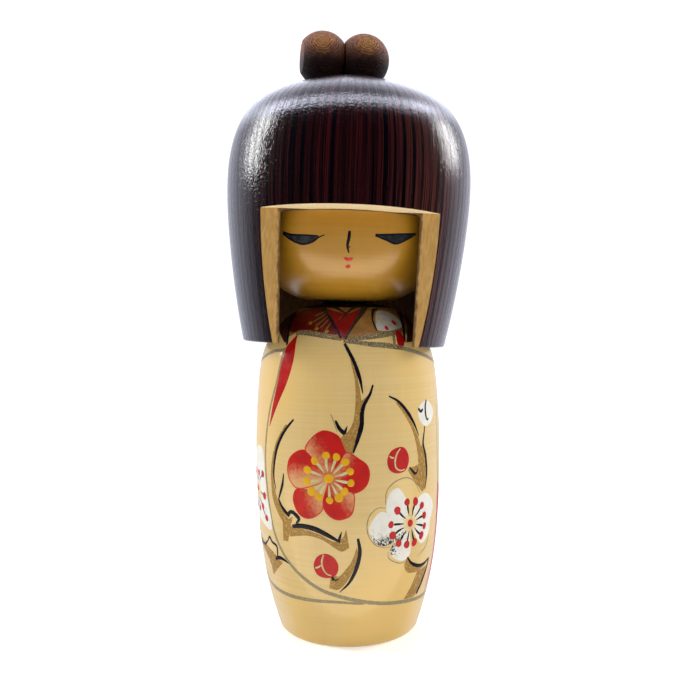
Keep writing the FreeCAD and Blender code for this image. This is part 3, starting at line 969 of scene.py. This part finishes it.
white_petals = on_body("white_petals", white_paint("petal_white"), 0.045)
for centre, outline, wear, heart in (
    ((16, 45.5), [(20, 40), (14.5, 40.8), (11.5, 43.2), (11.4, 46.2), (12.8, 49.3), (15.3, 50.2),
        (17.8, 47.6), (19.2, 44.5)], None, WHITE_HEART),
    ((11.5, 38.5), [(19.5, 38.6), (14.5, 41.3), (11.5, 43), (9.2, 43.4), (6.4, 40.4), (5.8, 37.8),
        (7.6, 34.2), (10.8, 32.8), (14, 33.6), (17, 35)],
        toward((11, 34.8), 268, 4.5, 0.78), WHITE_HEART),
    ((17.3, 31), [(20, 37.5), (16.6, 34.8), (13.4, 32.3), (13.2, 30), (16.5, 27.5), (19.6, 27.5),
        (21.2, 29.3), (20.8, 33)], toward((14.6, 31.5), 150, 4.5, 0.76), WHITE_HEART),
    ((28, 40), [(21.2, 38.8), (23, 45.2), (27.2, 46.9), (31.6, 44.7), (33.6, 41), (32, 37.5), (31, 33.4),
        (27, 30.9), (23.3, 34)], None, WHITE_HEART),
    ((-36.5, 50), [(-32.7, 45), (-32.6, 52), (-34.5, 60.5), (-41, 60), (-45.5, 55), (-44, 49), (-38, 46)],
        None, (-40, 46)),
    ((-37, 40), [(-32.6, 46), (-38, 46), (-44, 45), (-43, 38), (-37, 36.3), (-30.2, 35), (-29.3, 38.4)],
        None, (-40, 46)),
    ((-47, 45.5), [(-41, 46.5), (-45, 50.5), (-49.5, 50.8), (-52.5, 47), (-51.5, 42.5), (-47.5, 41),
        (-43, 43.5)],
        None, (-40, 46)),
):
    white_petals.fill(centre, outline, wear, bare=thin_near(heart, BARE_REACH))
white_petals.fill((29, 71.8), [(28.9, 75.8), (25.3, 74.6), (24.2, 71.7), (25.4, 69.3), (28.2, 67.8),
        (31.8, 69), (33.9, 71.7), (32.1, 74.6)])
white_petals.make()

outline_paint = plain_paint("petal_outline", (0.25, 0.19, 0.10), (0.40, 0.30, 0.16))
thin_line = on_body("petal_outlines", outline_paint, 0.05)
for outline in (
    [(11, 45.5), (11.4, 49.6), (14.2, 52.2), (18.4, 53), (21.8, 51.4), (24.5, 47.6)],
    [(11.2, 44.5), (8.6, 44.7), (6, 42.7), (5.1, 39.3), (5.8, 36), (8, 33.4), (11.2, 32.3), (13, 32.4)],
    [(12.3, 31), (12.5, 29), (14, 27.8), (17.1, 26.6), (20.5, 26.9)],
    [(31.3, 32.8), (30.6, 30.5), (28.9, 28.8), (25, 27.1)],
    [(-5.9, 73.4), (-5.1, 71.5), (-3.9, 68)],
):
    thin_line.stroke(outline, 0.34, (0.5, 0.4))
thin_line.make()

dark_threads = on_body("dark_filaments", ink, 0.075)
red_drops = on_body("red_dots", bloom_red, 0.09)
stamens(WHITE_HEART,
        [(18.9, 45.4), (22.6, 45), (25.8, 43.2), (27.4, 39.8), (27.8, 36.3), (26.3, 33.6), (22.9, 32.1),
        (19.4, 32.1), (16.1, 33), (13.7, 35.8), (13, 39.2), (15.2, 43.3)],
        dark_threads, red_drops, 0.85, 2.45, 0.32, 0.92)
red_drops.dot(WHITE_HEART, 2.3, 2.3)
stamens(SIDE_HEART, [(-34.4, 52.2), (-38.4, 52), (-33.6, 45.3), (-35.5, 41.5), (-32.8, 38.3), (-42.5, 52.3),
        (-46.2, 50.3), (-48.4, 46.8), (-47, 43.2), (-43.2, 40.6), (-39, 40.4)],
        dark_threads, red_drops, 0.6, 2.3, 0.45)
red_drops.dot(SIDE_HEART, 2.2, 2.2)
red_drops.dot((21.6, 100.5), 2.2, 1.7)
red_drops.dot((16, 98.9), 1.8, 1.4)
for stem in ([(29.2, 76), (28.3, 74.4), (28.2, 71.6), (28.9, 69.9), (30.1, 70.1)], [(24.4, 73.8),
        (25.5, 72.7), (27, 73.5)]):
    dark_threads.stroke(stem, 1.1, (0.7, 0.6))
green_threads.make()
yellow_drops.make()
dark_threads.make()
red_drops.make()


# ---- Face ----

eye_grey = plain_paint("eye_grey", (0.012, 0.015, 0.018), (0.035, 0.040, 0.045), 500.0)
lip_red = plain_paint("lip_red", (0.48, 0.022, 0.022), (0.56, 0.06, 0.05), 900.0)
eyes = on_face("eye_fill", eye_grey, 0.03)
eye_lines = on_face("eye_lines", ink, 0.045)
UPPER_RIGHT = [(-22, 127.7), (-18, 126.8), (-13, 126.6), (-9.5, 126.4)]
LOWER_RIGHT = [(-22, 127.4), (-19, 125.4), (-15, 124), (-11.5, 124.6), (-9, 126.1)]
UPPER_LEFT = [(8, 127.2), (12.5, 127.6), (16.5, 128.1), (22.5, 128.8)]
LOWER_LEFT = [(8, 127), (11.5, 126), (15.2, 125.1), (19, 126.6), (22.8, 128.7)]
eyes.band(UPPER_RIGHT, LOWER_RIGHT)
eyes.band(UPPER_LEFT, LOWER_LEFT)
eye_lines.strokes((
    (UPPER_RIGHT, 0.65, (1.2, 0.6), 0.2),
    (LOWER_RIGHT + [(-7.5, 126.7)], 0.6, (1.0, 0.5), 0.3),
    (UPPER_LEFT, 0.65, (1.3, 0.5), 0.1),
    (LOWER_LEFT, 0.55, (0.8, 0.5), 0.3),
    ([(0.1, 128.1), (0, 126.2), (-0.4, 123.6), (0.1, 121.6)], 1.0, (0.8, 0.4), 0.25),
    ([(-0.3, 123), (0.6, 123.6)], 0.4, (0.7, 0.3), 0.3),
))
eyes.make()
eye_lines.make()
lips = on_face("lips", lip_red, 0.03)
lips.fill((0, 119.8), [(-1.6, 120.2), (-0.6, 120.4), (0.1, 120.2), (0.9, 120.4), (1.7, 120.1), (0.9, 119.3),
        (0, 119.2), (-0.9, 119.5)])
lips.fill((0, 117.7), [(-1, 117.8), (-0.4, 118.2), (0.6, 118.3), (1.0, 117.8), (0.4, 117.2), (-0.5, 117.2)])
lips.make()


# ---- Stage, light and camera ----

FRONT_LIGHT = 0.20
WALLS = 1.0
UMBRELLA = 1.2
UMBRELLA_RIM = 14.0
BACKDROP = 1.1
LAMPS_AIM = Vector((0, 0, 0.13))


def pale_floor():
    mesh = bpy.data.meshes.new("floor")
    wide = 6.0
    corners = [(-wide, -wide, 0), (wide, -wide, 0), (wide, wide, 0), (-wide, wide, 0)]
    mesh.from_pydata(corners, [], [(0, 1, 2, 3)])
    floor = add("floor", mesh)
    finish = Finish("floor_paper", Roughness=0.9, Specular_IOR_Level=0.1,
                    Emission_Color=(1, 1, 1, 1), Emission_Strength=0.35)
    cloud = finish.noise(finish.place(), 3.0, 2.0)
    finish.shade("Base Color", finish.mix(cloud, (0.93, 0.93, 0.93), (0.95, 0.95, 0.95)))
    mesh.materials.append(finish.material)
    floor.visible_glossy = False


def area_lamp(name, wide, tall, power):
    lamp = bpy.data.lights.new(name, "AREA")
    lamp.shape = "RECTANGLE"
    lamp.size, lamp.size_y, lamp.energy = wide, tall, power
    return add(name, lamp)


def reflector():
    """A bright card lying in front of the doll, seen only in its reflections."""
    holder = area_lamp("table_card", 0.4, 0.085, 0.27)
    holder.data.color = (1.0, 0.87, 0.66)
    holder.location = (0, -0.075, 0.003)
    holder.rotation_euler = (math.pi, 0, 0)
    holder.visible_diffuse = False


def soft_box(name, azimuth, elevation, distance, wide, tall, power, mirrored=True):
    """A rectangular lamp that faces the doll; azimuth 0 is the camera's side."""
    a, e = math.radians(azimuth), math.radians(elevation)
    back = Vector((math.sin(a) * math.cos(e), -math.cos(a) * math.cos(e), math.sin(e)))
    holder = area_lamp(name, wide, tall, power)
    holder.location = LAMPS_AIM + back * distance
    holder.rotation_mode = "QUATERNION"
    holder.rotation_quaternion = back.to_track_quat("Z", "Y")
    holder.visible_glossy = mirrored


def light_tent():
    """White surroundings for light; shiny surfaces see a dark room in front."""
    world = bpy.data.worlds.new("tent")
    bpy.context.scene.world = world
    world.use_nodes = True
    tent = Nodes(world.node_tree)
    parts = tent.parts(tent.node("TexCoord").outputs["Generated"])
    depth, height = parts[1], parts[2]
    path = tent.node("LightPath")

    def backdrop(strength, colour):
        return tent.node("Background", {"Color": (*colour, 1), "Strength": strength}).outputs[0]

    def pick(ray, otherwise, chosen):
        """One backdrop for this kind of ray and another for the rest."""
        return tent.node("MixShader", {0: path.outputs[ray], 1: otherwise, 2: chosen}).outputs[0]

    # A round umbrella overhead, a little behind the doll, with a brighter rim.
    nearness = tent.plus(tent.times(depth, 0.385), tent.times(height, 0.923))
    inside = tent.span(nearness, 0.655, 0.71)
    middle = tent.span(nearness, 0.75, 0.83)
    rim = tent.times(inside, tent.math("SUBTRACT", 1.0, middle))
    rim = tent.times(rim, tent.span(depth, 0.15, 0.55, 1.0, 0.0))
    umbrella = tent.plus(tent.times(inside, UMBRELLA), tent.times(rim, UMBRELLA_RIM))
    walls = tent.span(depth, 0.0, 0.5, 0.01, WALLS)
    mirrored = backdrop(tent.plus(walls, umbrella), (0.81, 0.84, 1.0))
    light = backdrop(tent.span(depth, -1.0, 0.4, FRONT_LIGHT, 0.9), (1.0, 0.99, 0.97))
    seen = backdrop(BACKDROP, (1, 1, 1))
    surroundings = pick("Is Camera Ray", pick("Is Glossy Ray", light, mirrored), seen)
    tent.feed(tent.tree.nodes["World Output"].inputs["Surface"], surroundings)


def camera():
    """The photographer's place: level, a little to the doll's right of its face."""
    distance, height = 0.2525, 0.1015
    turn, roll = math.radians(-1.2), math.radians(-0.35)
    back = Vector((math.sin(turn), -math.cos(turn), 0))
    right = Vector((math.cos(turn), math.sin(turn), 0))
    up = Vector((0, 0, 1))
    across = right * math.cos(roll) + up * math.sin(roll)
    upward = up * math.cos(roll) - right * math.sin(roll)
    lens = bpy.data.cameras.new("camera")
    lens.lens = 38.1
    lens.sensor_width = 36.0
    lens.shift_x = 0.0041
    lens.shift_y = -0.0429
    eye = add("camera", lens)
    place = Matrix((across, upward, back)).transposed().to_4x4()
    place.translation = back * distance + Vector((0, 0, height))
    eye.matrix_world = place
    bpy.context.scene.camera = eye


pale_floor()
light_tent()
reflector()
soft_box("side_light_right", -100, 27, 0.8, 0.14, 0.38, 3.3)
soft_box("side_light_left", 108, 24, 0.8, 0.10, 0.30, 2.2)
soft_box("front_fill", 55, 30, 1.0, 0.7, 0.6, 1.8, mirrored=False)
camera()
bpy.context.scene.view_settings.view_transform = "Standard"
